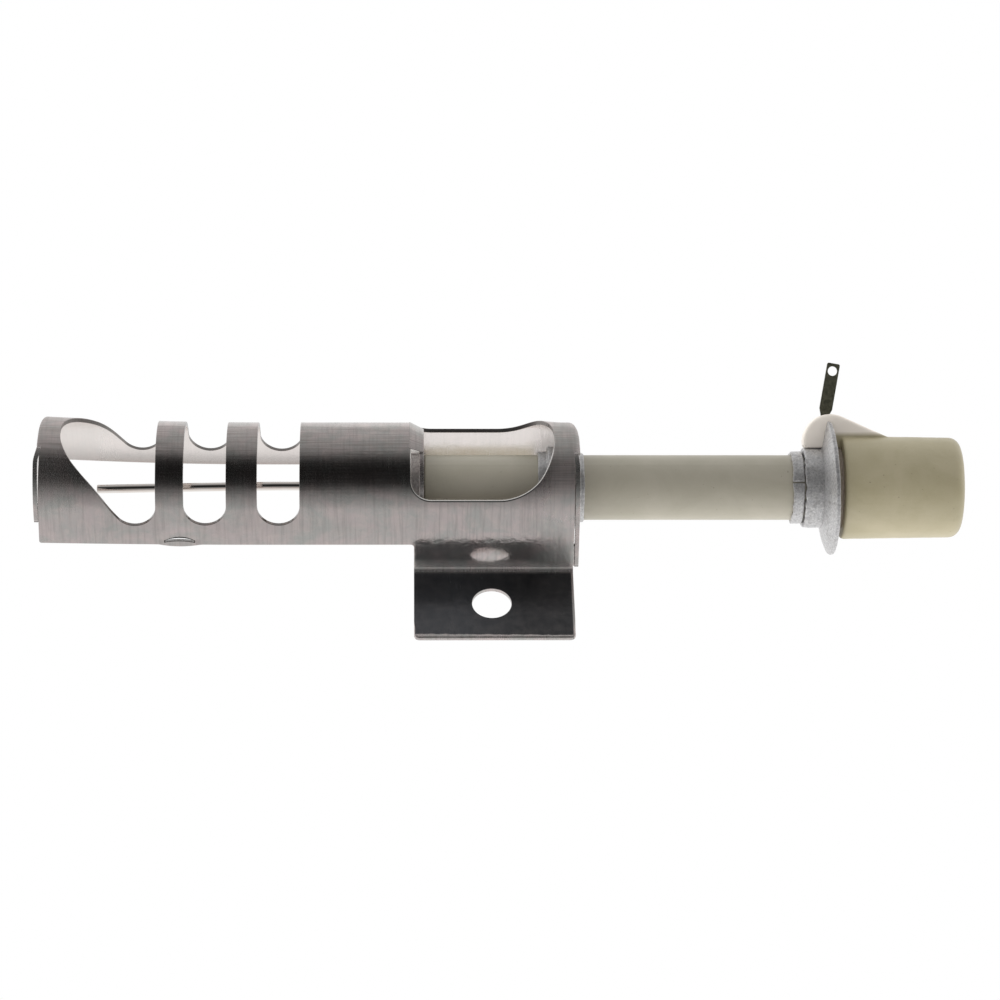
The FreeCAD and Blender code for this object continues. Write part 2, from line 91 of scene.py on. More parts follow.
# The leaning wall's straight part, and the bend between it and the foot.
tangent_z = arch_z + ARCH_RADIUS * sin(LEAN)
WALL_STRAIGHT = (tangent_z + BEND_RADIUS * sin(LEAN) - SHEET - BEND_RADIUS) / cos(LEAN)
BEND_ANGLE = pi / 2 - LEAN
BEND_RUN = (BEND_RADIUS + SHEET / 2) * BEND_ANGLE

# Spark target on the near wall: an arched cut, with a hollow above it and a lip below.
TARGET_X = -55.4
TARGET_RUN = TANGENT_RUN + 4.75
TARGET_SAG = 1.0
TARGET_HALF = 3.8
TARGET_SLIT = 5.4
TARGET_DEPTH = 0.12
TARGET_LIP = 0.6

# The spark end is sprung open, to the far side and up. The long window's far rear corner is
# pulled out.
SPRING_START, SPRING = -40.0, 1.05
FAR_UP = Vector((0, 0.72, 0.7))
PULL_X, PULL_RUN, PULL = 7.6, -10.0, 0.45

# The end plates' flat coordinates are moved well clear of the rolled sheet's, so that the
# material can tell them apart.
PLATE_APART = (-150.0, -40.0)

VIEW_AZIMUTH = radians(-2.3)
VIEW_ELEVATION = radians(46.0)
VIEW_DISTANCE = 612.0
VIEW_LENS = 122.4

# Light levels against the direction's angle in degrees, from straight down (-90) by the near
# horizon (0) and the top (90) to the far horizon (180). Polished surfaces see the studio, whose
# dark stretch is the room behind the camera. Matt surfaces see the fill light.
STUDIO = [(-90, 0.72), (-18, 0.64), (-5, 0.54), (7, 0.44), (19, 0.33), (30, 0.19), (41, 0.045),
          (53, 0.018), (76, 0.015), (88, 0.03), (98, 0.12), (110, 0.31), (125, 0.40), (142, 0.50),
          (161, 0.58), (180, 0.66)]
FILL = [(-90, 0.9), (0, 0.7), (40, 0.58), (90, 0.55), (120, 0.8), (140, 1.5), (180, 2.2)]
FLOOR_GLOW = 1.9


def clamped(value):
    return min(max(value, 0.0), 1.0)


def eased(value):
    """Smooth step from 0 to 1."""
    t = clamped(value)
    return t * t * (3 - 2 * t)


# ------------------------ outlines

def arc_points(centre, radius, start, end, steps):
    """Points on an arc, with angles in degrees."""
    points = []
    for step in range(steps + 1):
        angle = radians(start + (end - start) * step / steps)
        points.append((centre[0] + radius * cos(angle), centre[1] + radius * sin(angle)))
    return points


def rounded(corners, steps=5):
    """Closed loop through corners (a, b, radius), with each corner rounded."""
    loop = []
    for index, (a, b, radius) in enumerate(corners):
        corner = Vector((a, b))
        back = (Vector(corners[index - 1][:2]) - corner).normalized()
        ahead = (Vector(corners[(index + 1) % len(corners)][:2]) - corner).normalized()
        half = back.angle(ahead) / 2
        if not radius or half > radians(89):
            loop.append((a, b))
            continue
        centre = corner + (back + ahead).normalized() * radius / sin(half)
        first = corner + back * (radius / tan(half)) - centre
        last = corner + ahead * (radius / tan(half)) - centre
        sweep = first.angle_signed(last)
        for step in range(steps + 1):
            spoke = first.copy()
            spoke.rotate(Matrix.Rotation(-sweep * step / steps, 2))
            loop.append(tuple(centre + spoke))
    return loop


def smooth_curve(points, first_direction, last_direction, steps):
    """Curve through the points, with the directions given at its two ends."""
    knots = [Vector(point) for point in points]
    slopes = [(after - before) / 2 for before, after in zip(knots, knots[2:])]
    reach = [(after - before).length for before, after in zip(knots, knots[1:])]
    slopes = ([Vector(first_direction).normalized() * reach[0]] + slopes
              + [Vector(last_direction).normalized() * reach[-1]])
    curve = []
    for index in range(len(knots) - 1):
        for step in range(steps):
            t = step / steps
            start = knots[index] * (2 * t ** 3 - 3 * t ** 2 + 1)
            start += slopes[index] * (t ** 3 - 2 * t ** 2 + t)
            end = knots[index + 1] * (3 * t ** 2 - 2 * t ** 3)
            end += slopes[index + 1] * (t ** 3 - t ** 2)
            curve.append(tuple(start + end))
    return curve + [tuple(knots[-1])]


def resampled(loop, spacing):
    """The closed loop with extra points, so that no side is longer than the spacing."""
    points = []
    for start, end in zip(loop, loop[1:] + loop[:1]):
        length = dist(start, end)
        if length < 1e-6:
            continue
        count = max(1, ceil(length / spacing))
        for step in range(count):
            t = step / count
            points.append((start[0] + (end[0] - start[0]) * t, start[1] + (end[1] - start[1]) * t))
    return points


def signed_area(loop):
    return sum(a[0] * b[1] - b[0] * a[1] for a, b in zip(loop, loop[1:] + loop[:1])) / 2


def directed(loop, counterclockwise):
    return loop if (signed_area(loop) > 0) == counterclockwise else loop[::-1]


def outward_normals(loop):
    """Direction away from the sheet at each point of a loop that keeps the sheet on its left."""
    normals = []
    for index, point in enumerate(loop):
        before = Vector(point) - Vector(loop[index - 1])
        after = Vector(loop[(index + 1) % len(loop)]) - Vector(point)
        one = Vector((before.y, -before.x)).normalized()
        two = Vector((after.y, -after.x)).normalized()
        normals.append((one + two) / (1 + max(one.dot(two), -0.5)))
    return normals


def inside(loops, a, b):
    """Whether a point lies in the sheet, counting how often a line from it crosses the loops."""
    crossings = 0
    for loop in loops:
        for (a0, b0), (a1, b1) in zip(loop, loop[1:] + loop[:1]):
            if (b0 > b) != (b1 > b) and a < a0 + (b - b0) * (a1 - a0) / (b1 - b0):
                crossings += 1
    return crossings % 2 == 1


# ------------------------ mesh building

class Piece:
    """Vertices in millimetres, their normals and flat coordinates, and faces."""

    def __init__(self, name):
        self.name = name
        self.vertices = []
        self.normals = []
        self.flat = []
        self.faces = []

    def add_vertex(self, position, normal, flat):
        self.vertices.append(position)
        self.normals.append(normal)
        self.flat.append(flat)
        return len(self.vertices) - 1

    def join(self, one, two, turned_over=False):
        """Adds the strip of four-sided faces between two closed rings of vertices."""
        for i in range(len(one)):
            j = (i + 1) % len(one)
            quad = [one[i], two[i], two[j], one[j]]
            self.faces.append(quad[::-1] if turned_over else quad)

    def make(self, material, node_name):
        mesh = bpy.data.meshes.new(self.name)
        mesh.from_pydata([tuple(v * MM) for v in self.vertices], [], self.faces)
        mesh.polygons.foreach_set("use_smooth", [True] * len(mesh.polygons))
        flat = mesh.attributes.new("flat", "FLOAT_VECTOR", "POINT")
        flat.data.foreach_set("vector", [value for point in self.flat for value in point])
        mesh.materials.append(material)
        mesh.update()
        if all(normal is not None for normal in self.normals):
            mesh.normals_split_custom_set_from_vertices([tuple(n) for n in self.normals])
        place_piece(bpy.data.objects.new(self.name, mesh), node_name)


def place_piece(piece, node_name):
    """Puts a piece in the scene, on the object's one body, in place of its CAD node."""
    bpy.context.scene.collection.objects.link(piece)
    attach(piece, "root")
    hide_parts(node_name)


def sheet_triangles(points, triangles, rim, loops):
    """The triangles that join up with the largest one inside the loops, without crossing the rim."""
    def sides(index):
        i, j, k = triangles[index]
        return frozenset((i, j)), frozenset((j, k)), frozenset((k, i))

    def area(index):
        one, two, three = (points[i] for i in triangles[index])
        return abs((two - one).cross(three - one))

    by_side = {}
    for index in range(len(triangles)):
        for side in sides(index):
            by_side.setdefault(side, []).append(index)
    for index in sorted(range(len(triangles)), key=area, reverse=True):
        if inside(loops, *(sum((points[i] for i in triangles[index]), Vector((0, 0))) / 3)):
            waiting = [index]
            break
    reached = set(waiting)
    while waiting:
        for side in sides(waiting.pop()):
            for neighbour in by_side[side] if side not in rim else ():
                if neighbour not in reached:
                    reached.add(neighbour)
                    waiting.append(neighbour)
    return [triangles[index] for index in sorted(reached)]


def even_rounding(a, b):
    return EDGE_ROUNDING


def press_sheet(piece, loops, place, spacing, rounding=even_rounding, extra=(), apart=(0, 0)):
    """Adds a sheet with rounded edges. `place` maps (a, b, depth) to a point in space, and
    `rounding` gives the radius of the outer edge at (a, b). The flat coordinates that the
    material reads are (a, b, depth), moved by `apart`."""
    loops = [directed(loop, index == 0) for index, loop in enumerate(loops)]
    outward = [outward_normals(loop) for loop in loops]
    radii = [[rounding(*point) for point in loop] for loop in loops]
    inset = [[(point[0] - normal.x * radius, point[1] - normal.y * radius)
              for point, normal, radius in zip(loop, normals, rounds)]
             for loop, normals, rounds in zip(loops, outward, radii)]

    def tangents(a, b, depth=0.0):
        step = 0.02
        along_a = place(a + step, b, depth) - place(a - step, b, depth)
        along_b = place(a, b + step, depth) - place(a, b - step, depth)
        return along_a.normalized(), along_b.normalized()

    a, b = inset[0][0]
    along_a, along_b = tangents(a, b)
    outer_side = along_a.cross(along_b).dot(place(a, b, 0) - place(a, b, SHEET))
    side = 1 if outer_side > 0 else -1

    points = [Vector(point) for loop in inset for point in loop]
    edges, first = [], 0
    for loop in inset:
        count = len(loop)
        edges += [(first + i, first + (i + 1) % count) for i in range(count)]
        first += count
    lows = [min(point[k] for point in loops[0]) for k in range(2)]
    highs = [max(point[k] for point in loops[0]) for k in range(2)]
    clear = 0.45 * spacing
    rim_cells = {}
    for point in points:
        rim_cells.setdefault((int(point.x // spacing), int(point.y // spacing)), []).append(point)

    def free(candidate):
        column, row = int(candidate.x // spacing), int(candidate.y // spacing)
        near = [p for i in (-1, 0, 1) for j in (-1, 0, 1)
                for p in rim_cells.get((column + i, row + j), [])]
        return all((p - candidate).length > clear for p in near)

    rows = int((highs[1] - lows[1]) / spacing)
    columns = int((highs[0] - lows[0]) / spacing)
    grid = [Vector((lows[0] + (i + 0.5) * spacing, lows[1] + (j + 0.5) * spacing))
            for j in range(rows + 1) for i in range(columns + 1)]
    grid += [Vector(point) for point in extra]
    points += [point for point in grid if inside(inset, *point) and free(point)]

    flat_points, _, triangles, sources, _, _ = delaunay_2d_cdt(points, edges, [], 0, 1e-5)
    where = {source: index for index, group in enumerate(sources) for source in group}
    rim = {frozenset((where[i], where[j])) for i, j in edges}
    kept = sheet_triangles(flat_points, triangles, rim, inset)

    skins = []
    for depth, facing in ((0.0, 1), (SHEET, -1)):
        skin = []
        for point in flat_points:
            along_a, along_b = tangents(point.x, point.y, depth)
            normal = along_a.cross(along_b).normalized() * side * facing
            flat = (point.x + apart[0], point.y + apart[1], depth)
            skin.append(piece.add_vertex(place(point.x, point.y, depth), normal, flat))
        skins.append(skin)
        for triangle in kept:
            corners = [skin[i] for i in triangle]
            piece.faces.append(corners if side * facing > 0 else corners[::-1])

    first = 0
    for loop, normals, rounds in zip(loops, outward, radii):
        count = len(loop)
        rings = [[skins[0][where[first + i]] for i in range(count)]]
        for turn, at_back in ((22.5, False), (45, False), (67.5, False), (90, False),
                              (90, True), (135, True)):
            inward = 1 - sin(radians(turn))
            share = 1 - abs(cos(radians(turn)))
            ring = []
            for point, normal, radius in zip(loop, normals, rounds):
                depth = SHEET - share * EDGE_ROUNDING if at_back else share * radius
                a = point[0] - normal.x * inward * radius
                b = point[1] - normal.y * inward * radius
                along_a, along_b = tangents(a, b, depth)
                up = along_a.cross(along_b).normalized() * side
                out = (along_a * normal.x + along_b * normal.y).normalized()
                angle = radians(turn)
                ring.append(piece.add_vertex(place(a, b, depth),
                                             up * cos(angle) + out * sin(angle),
                                             (a + apart[0], b + apart[1], depth)))
            rings.append(ring)
        rings.append([skins[1][where[first + i]] for i in range(count)])
        for upper, lower in zip(rings, rings[1:]):
            piece.join(upper, lower, side < 0)
        first += count


def turned(material, name, node_name, corners, wobble, spacing, segments, split_angle=0.0, gap=0.0):
    """Makes a plated ring about the insulator's axis, from a closed profile of corners (x, radius,
    rounding). `wobble` gives how far each point is moved along the axis and outwards. With a gap,
    the ring is open at the split angle."""
    piece = Piece(name)
    profile = directed(resampled(rounded(corners, 4), spacing), True)
    centre = Vector((0, axis_y, core_z))
    rings = []
    for segment in range(segments + 1 if gap else segments):
        angle = split_angle + gap / 2 + (2 * pi - gap) * segment / segments
        direction = Vector((0, -cos(angle), sin(angle)))
        ring = []
        for x, radius in profile:
            shift_x, shift_r = wobble(x, radius, angle)
            place = centre + Vector((x + shift_x, 0, 0)) + direction * (radius + shift_r)
            ring.append(piece.add_vertex(place, None, (x, radius * angle, radius)))
        rings.append(ring)
    for one, two in zip(rings, rings[1:]):
        piece.join(one, two)
    if gap:
        piece.faces += [rings[0], rings[-1][::-1]]
    else:
        piece.join(rings[-1], rings[0])
    piece.make(material, node_name)


def rough(x, angle, seed, scale):
    """Smooth seeded noise on a ring, in the range -1 to 1."""
    reach = 3.0 * scale
    return noise.noise(Vector((x * scale * 0.5 + seed, reach * cos(angle),
                               reach * sin(angle))))


# ------------------------ the pressed shield

def arch_point(radius, angle, x):
    return Vector((x, axis_y - radius * sin(angle), arch_z + radius * cos(angle)))


def target_cut(x):
    """Run of the spark target's arched cut, which rises from the free edge."""
    across = (x - TARGET_X) / TARGET_HALF
    return TARGET_RUN + TARGET_SAG * across * across


def dent(x, run):
    """Depth of the spark target: a faint hollow above its cut, and a lip that stands out below."""
    across = abs(x - TARGET_X)
    above = target_cut(x) - run
    reach = hypot(across, max(above, 0.0)) / TARGET_HALF
    hollow = TARGET_DEPTH * max(0.0, 1 - reach * reach) ** 1.5
    lip = -TARGET_LIP * max(0.0, 1 - (across / TARGET_HALF) ** 2)
    blend_width = 0.05 + 0.9 * max(0.0, across - TARGET_SLIT / 2)
    t = eased(0.5 - above / (2 * blend_width))
    return hollow * (1 - t) + lip * t


def lift(x, angle):
    """How far the spark end is sprung open, in millimetres towards the far side and up."""
    t = max(0.0, (SPRING_START - x) / (SPRING_START - ARCH_START))
    share = 0.35 + 0.65 * clamped((TANGENT_ANGLE - angle) / TANGENT_ANGLE)
    return SPRING * share * t * t


def rolled_place(x, run, depth):
    """Point of the rolled sheet, from its flat pattern: arch, leaning wall, bend and foot."""
    past = run - TANGENT_RUN
    if past < WALL_LENGTH:
        depth = depth + dent(x, run)
    if past <= 0:
        point = arch_point(ARCH_RADIUS - depth, run / ARCH_RADIUS, x)
    elif past <= WALL_STRAIGHT:
        point = arch_point(ARCH_RADIUS - depth, TANGENT_ANGLE, x) - WALL_UP * past
    else:
        centre = arch_point(ARCH_RADIUS, TANGENT_ANGLE, x) + WALL_OUT * BEND_RADIUS
        centre -= WALL_UP * WALL_STRAIGHT
        turn = min((past - WALL_STRAIGHT) / BEND_RUN, 1.0) * BEND_ANGLE
        normal = Vector((0, -cos(LEAN + turn), sin(LEAN + turn)))
        point = centre - normal * (BEND_RADIUS + depth)
        point.y -= max(0.0, past - WALL_STRAIGHT - BEND_RUN)
    end_shift = crown_curl(x, run)
    outward = Vector((0, -sin(run / ARCH_RADIUS), cos(run / ARCH_RADIUS)))
    end_shift -= PULL * exp(-((x - PULL_X) / 3.2) ** 2 - ((run - PULL_RUN) / 4.0) ** 2)
    return point - outward * end_shift + FAR_UP * lift(x, run / ARCH_RADIUS)


def crown_curl(x, run):
    """The sheet curls down over the end plates where its crown overhangs them."""
    if run > FLUSH_RUN:
        return 0.0
    past = max(ARCH_START + 0.25 - x, x - BOX_END + 0.25, 0.0)
    return 0.38 * past * past


def overhang_x(side, run):
    """The crown's end, at the spark end (side -1) or at the head's end (side 1). It runs askew,
    and is cut back round the far side."""
    flush_y = axis_y - ARCH_RADIUS * sin(FLUSH_RUN / ARCH_RADIUS)
    past = axis_y - ARCH_RADIUS * sin(run / ARCH_RADIUS) - flush_y
    cut_back = min(0.036 * max(past - 4.0, 0.0) ** 2, 1.6)
    if side > 0:
        return BOX_END + OVERHANG + 0.25 - 0.03 * past - cut_back
    return ARCH_START - OVERHANG + 0.25 + 0.03 * past + 0.5 * cut_back


foot_start_run = TANGENT_RUN + WALL_STRAIGHT + BEND_RUN
bend_centre_y = arch_point(ARCH_RADIUS, TANGENT_ANGLE, 0).y - (
    sin(LEAN) * WALL_STRAIGHT + cos(LEAN) * BEND_RADIUS)
foot_edge_run = foot_start_run + bend_centre_y - shield_low.y
hole_run = foot_start_run + bend_centre_y
wall_edge_run = TANGENT_RUN + WALL_LENGTH


def sheet_outline():
    steps = 12
    runs = [FAR_RUN + (FLUSH_RUN - FAR_RUN) * step / steps for step in range(steps + 1)]
    roundings = [0.5] + [0.0] * (steps - 1) + [0.25]
    rear, front = [[(overhang_x(side, run), run, rounding)
                    for run, rounding in zip(runs, roundings)] for side in (1, -1)]
    corners = rear + [
        (BOX_END, FLUSH_RUN, 0.12), (BOX_END, foot_edge_run, 1.0),
        (BOX_START, foot_edge_run, 1.0), (BOX_START, wall_edge_run, 0.6),
        (ARCH_START - 0.42, wall_edge_run, 0.4), (ARCH_START, FLUSH_RUN, 0.12)] + front[::-1]
    return resampled(rounded(corners), 0.6)


def both_sides(half, centre_angle):
    """Closed loop from the near half of a window, which runs from its centreline and back."""
    shift = centre_angle * ARCH_RADIUS
    near = [(x, shift + run) for x, run in half]
    far = [(x, shift - run) for x, run in reversed(half)]
    return resampled(near + far[1:-1], 0.4)


def spark_window():
    front, back = -76.5, -59.5
    lobe_radius, lobe_run = 3.75, 14.3
    centre = (back - lobe_radius, lobe_run)
    lobe = arc_points(centre, lobe_radius, 140, 0, 20)
    meet = radians(140)
    slant = smooth_curve([(front, 0), (-75.0, 5.4), (-69.9, 11.6), lobe[0]], (0, 1),
                         (sin(meet), -cos(meet)), 10)
    return both_sides(slant + lobe[1:] + [(back, 0)], WINDOW_ANGLE)


def slot_window(centre_x):
    half_width, half_length = 3.75, 17.85
    round_end = arc_points((centre_x, half_length - half_width), half_width, 180, 0, 28)
    return both_sides([(centre_x - half_width, 0)] + round_end + [(centre_x + half_width, 0)],
                      WINDOW_ANGLE)


def long_window():
    front, back, half_width, corner = -14.3, 11.2, 12.55, 3.6
    curve_start = 1.3
    turn = arc_points((front + corner, half_width - corner), corner, 180, 90, 12)
    back_curve = smooth_curve([(curve_start, half_width), (8.4, 9.1), (back, 0)], (1, 0), (0, -1), 16)
    return both_sides([(front, 0)] + turn + back_curve, LONG_WINDOW_ANGLE)


def round_hole(centre, radius, steps):
    return arc_points(centre, radius, 0, 360, steps)[:-1]


def target_slit():
    half_width, steps = 0.06, 24
    stations = [TARGET_X + TARGET_SLIT * (step / steps - 0.5) for step in range(steps + 1)]
    lower = [(x, target_cut(x) + half_width) for x in stations]
    upper = [(x, target_cut(x) - half_width) for x in reversed(stations)]
    return resampled(lower + upper, 0.25)


def plate_outline(painted_inner_light, floor_z):
    """Outline (y, z) of an end plate: leaning near side, flush with the arch as far as the crown,
    then round inside the arch to the far side, and a flat floor."""
    wall_foot = (ARCH_RADIUS - (floor_z - arch_z) * sin(LEAN)) / cos(LEAN)
    outline = [(axis_y - wall_foot, floor_z)]
    flush_angle = FLUSH_RUN / ARCH_RADIUS
    floor_angle = -acos(max(-1.0, (floor_z - arch_z) / painted_inner_light))
    end_angle = max(FAR_RUN / ARCH_RADIUS, floor_angle)
    for radius, first, last, steps in ((ARCH_RADIUS, TANGENT_ANGLE, flush_angle, 26),
                                       (painted_inner_light, flush_angle, end_angle, 52)):
        for step in range(steps + 1):
            angle = first + (last - first) * step / steps
            outline.append(arch_point(radius, angle, 0).yz[:])
    if end_angle > floor_angle:
        outline.append((outline[-1][0], floor_z))
    return outline


def flat_plate(x_outer, direction, lean_in=0.0):
    """Placement for a plate square to X, whose outer face is at x_outer and whose depth goes along
    direction. Its upper far part may lean in under the crown."""
    def place(y, z, depth):
        upward = FAR_UP.dot(Vector((0, y - axis_y, z - arch_z))) / ARCH_RADIUS
        x = x_outer + direction * (depth + lean_in * eased((upward - 0.25) / 0.35))
        return Vector((x, y, z)) + FAR_UP * lift(x_outer, atan2(axis_y - y, z - arch_z))
    return place


def shield_plates(piece):
    """The two end plates, and the tab and plate that hold the insulator's nose."""
    painted_inner_light = ARCH_RADIUS - SHEET - 0.1
    rear_outer = BOX_END + 0.15 + SHEET

    def add_plate(outline, holes, x_outer, direction, lean_in=0.0):
        press_sheet(piece, [outline] + holes, flat_plate(x_outer, direction, lean_in), 1.2,
                    apart=PLATE_APART)

    add_plate(resampled(plate_outline(painted_inner_light, 1.44), 0.6), [round_hole((axis_y, core_z), 6.5, 96)],
              rear_outer, -1, 0.35)
    add_plate(resampled(plate_outline(painted_inner_light, arch_z + 1.0), 0.6), [],
              ARCH_START - 0.3 - SHEET, 1, 0.75)

    root_bend = 0.45

    def rear_root(turn, height, depth):
        """Bent strip that joins the rear plate's lower near edge to the wall."""
        angle = turn / (root_bend + SHEET / 2)
        radius = root_bend + SHEET - depth
        base = arch_point(ARCH_RADIUS, TANGENT_ANGLE, rear_outer - root_bend - SHEET)
        drop = (base.z - height) / cos(LEAN)
        corner = base - WALL_UP * drop - WALL_OUT * (root_bend + SHEET)
        across = Vector((radius * sin(angle), 0, 0))
        return corner + WALL_OUT * radius * cos(angle) + across

    turn_length = (root_bend + SHEET / 2) * pi / 2
    strip = resampled([(0, 1.5), (turn_length, 1.5), (turn_length, 5.6), (0, 5.6)], 0.4)
    press_sheet(piece, [strip], rear_root, 0.4, apart=PLATE_APART)

    support_x = tube_low.x + 5.7
    drop = 1.2
    cone_start = BOX_START - 0.55
    cone_run = hypot(support_x - cone_start, drop)

    def tab(along, run, depth):
        """The tab that slopes down from the window's front edge."""
        share = along / cone_run
        fall = atan2(drop, support_x - cone_start)
        radius = ARCH_RADIUS - drop * share - depth * cos(fall)
        return arch_point(radius, run / ARCH_RADIUS,
                          cone_start + (support_x - cone_start) * share - depth * sin(fall))

    first_run, last_run = radians(-62.0) * ARCH_RADIUS, radians(10.0) * ARCH_RADIUS
    pattern = resampled(rounded([(-0.25, first_run, 0.2), (cone_run, first_run, 0.5),
                                 (cone_run, last_run, 0.5), (-0.25, last_run, 0.2)]), 0.5)
    press_sheet(piece, [pattern], tab, 0.8)

    disc_radius = ARCH_RADIUS - drop - 0.2
    floor_z = 0.85
    half = degrees(acos((arch_z - floor_z) / disc_radius))
    outline = resampled(arc_points((axis_y, arch_z), disc_radius, -90 + half, 270 - half, 90), 0.7)
    hole = round_hole((axis_y, core_z), (ferrule_high.y - ferrule_low.y) / 2 + 0.05, 72)
    add_plate(outline, [hole], support_x - 0.03, -1)


def worn_rounding(a, b):
    """Softer edges along the foot's outer end, and along the near side of the long window."""
    foot = clamped((b - hole_run - FIXING_HOLE_RADIUS - 0.8) / 1.5)
    from_front = clamped((a - BOX_START + 1.2) / 0.4)
    from_rear = clamped((BOX_END - 1.0 - a) / 0.5)
    near = clamped((b + 1.0) / 4.0) if b < TANGENT_RUN else 0.0
    window = from_front * from_rear * near
    return EDGE_ROUNDING + 0.30 * foot + 0.24 * window


def pressed_shield(material):
    piece = Piece("pressed_shield")
    fine = 0.3
    extra = [(TARGET_X + i * fine, TARGET_RUN + j * fine) for i in range(-14, 15)
             for j in range(-10, 5)]
    windows = [spark_window(), slot_window(-50.8), slot_window(-37.8), long_window(),
               round_hole((0, hole_run), FIXING_HOLE_RADIUS, 96), target_slit()]
    press_sheet(piece, [sheet_outline()] + windows, rolled_place, 0.8, worn_rounding, extra)
    shield_plates(piece)
    piece.make(material, "shield")


# ------------------------ turned metal and the rod

def rod_shift(x):
    """The wire is not quite straight: it rises behind the bands and droops at its tip."""
    rise = 0.25 * sin(clamped((x + 17.7) / -20.0) * pi / 2)
    droop = 0.55 * max(0.0, (-38.0 - x) / 33.0) ** 1.2
    return rise - droop


def drawn_rod(material):
    piece = Piece("drawn_rod")
    radius = (rod_high.y - rod_low.y) / 2
    stations = resampled(rounded([(rod_low.x, 0, 0), (rod_low.x, radius, 0.22),
                                  (rod_high.x, radius, 0.2), (rod_high.x, 0, 0)], 4), 1.5)
    profile = [point for point in stations if point[1] > 1e-6]
    profile.sort(key=lambda point: (point[0], point[1] if point[0] < 0 else -point[1]))
    segments = 40
    rings = []
    for x, r in profile:
        ring = []
        for segment in range(segments):
            angle = 2 * pi * segment / segments
            place = Vector((x, axis_y - r * cos(angle), core_z + r * sin(angle)))
            ring.append(piece.add_vertex(place + FAR_UP * rod_shift(x), None,
                                         (x, radius * angle, 0)))
        rings.append(ring)
    for one, two in zip(rings, rings[1:]):
        piece.join(one, two)
    piece.faces += [rings[0], rings[-1][::-1]]
    piece.make(material, "electrode_rod")


def front_bush(material):
    plate_face = BOX_END + 0.15

    def wobble(x, radius, angle):
        if radius <= RING_BORE + 0.1:
            return 0.0, 0.0
        push = 0.10 * rough(x, angle, 3.0, 1.3) + 0.04 * rough(x * 3, angle, 9.0, 4.0)
        return push, push * 0.8

    turned(material, "front_bush_turned", "front_bush",
           [(bush_low.x, RING_BORE, 0), (bush_low.x, 6.5, 0.25),
            (bush_low.x + 1.7, 6.5, 0.2), (bush_low.x + 1.7, 7.4, 0.35),
            (plate_face - 0.12, 7.4, 0.2), (plate_face - 0.12, 6.45, 0.1),
            (bush_high.x - 1.0, 6.5, 0.2), (bush_high.x - 0.7, 6.25, 0.2),
            (bush_high.x, 6.2, 0.3), (bush_high.x, RING_BORE, 0)], wobble, 0.35, 192)


def split_ring(material):
    """Open ring with a ragged front edge, whose ends meet at a thin split on the near side."""
    outer = 6.5

    def wobble(x, radius, angle):
        share = (radius - RING_BORE) / (outer - RING_BORE)
        front = max(0.0, 1 - (x - ring_low.x) / 1.2)
        ragged = 0.16 * rough(x, angle, 5.0, 2.2) + 0.07 * rough(x, angle, 8.0, 7.0)
        return 1.2 * ragged * front, share * 0.07 * rough(x, angle, 12.0, 1.6)

    turned(material, "split_ring_crimped", "rear_split_ring",
           [(ring_low.x, RING_BORE, 0.05), (ring_low.x, outer, 0.2), (ring_high.x, outer, 0.2),
            (ring_high.x, RING_BORE, 0.05)], wobble, 0.3, 180, radians(54.0), 0.36 / outer)


def collar(material):
    """Pressed collar with a ragged front lip and small dents."""
    outer, rear = 7.25, collar_high.x + 0.2
    length = collar_high.x - collar_low.x

    def wobble(x, radius, angle):
        share = (radius - RING_BORE) / (outer - RING_BORE)
        front = max(0.0, 1 - (x - collar_low.x) / (0.35 * length))
        tear = 0.22 * rough(x * 0.2, angle, 21.0, 2.6) + 0.13 * rough(x * 0.2, angle, 33.0, 8.0)
        dents = 0.09 * rough(x, angle, 40.0, 1.5) + 0.035 * rough(x * 2, angle, 44.0, 5.0)
        return tear * front, share * (dents - 0.10 * front)

    turned(material, "collar_pressed", "rear_collar",
           [(collar_low.x, RING_BORE, 0), (collar_low.x, outer, 0.25),
            (rear, outer, 0.05), (rear, RING_BORE, 0)], wobble, 0.22, 256)


def flange(material):
    """Dished disc with a rolled rim, notched where the head's ear passes."""
    hub, rim = 7.3, 12.15
    front = disc_low.x
    dish, thickness = 1.25, 0.85
    ear_angle = pi / 2 + radians(46.0)
    notch_half_width, notch_radius = 2.3, 7.4
    tilt = radians(2.4)

    def wobble(x, radius, angle):
        share = max(0.0, (radius - hub) / (rim - hub))
        flutter = 0.10 * rough(0, angle, 51.0, 0.9) + 0.035 * rough(0, angle, 57.0, 3.5)
        edge = 0.10 * rough(x, angle, 63.0, 2.5) + 0.04 * rough(x, angle, 66.0, 8.0)
        lean = tan(tilt) * (radius * cos(angle)) * share
        away = abs((angle - ear_angle + pi) % (2 * pi) - pi) * max(radius, 1.0)
        closed = 1.0 if away < notch_half_width and radius > notch_radius else 0.0
        return (flutter + lean) * share, share * edge - closed * (radius - notch_radius - 0.02 * share)

    turned(material, "flange_dished", "flange_disc",
           [(front, RING_BORE, 0), (front, hub, 0.5), (front + dish * 0.55, 10.4, 3.0),
            (front + dish, rim, 0.3), (front + dish + thickness, rim - 0.05, 0.35),
            (front + dish * 0.55 + thickness, 10.2, 3.0), (front + thickness, hub, 0.5),
            (front + thickness, RING_BORE, 0)], wobble, 0.35, 360)


# ------------------------ ceramic head

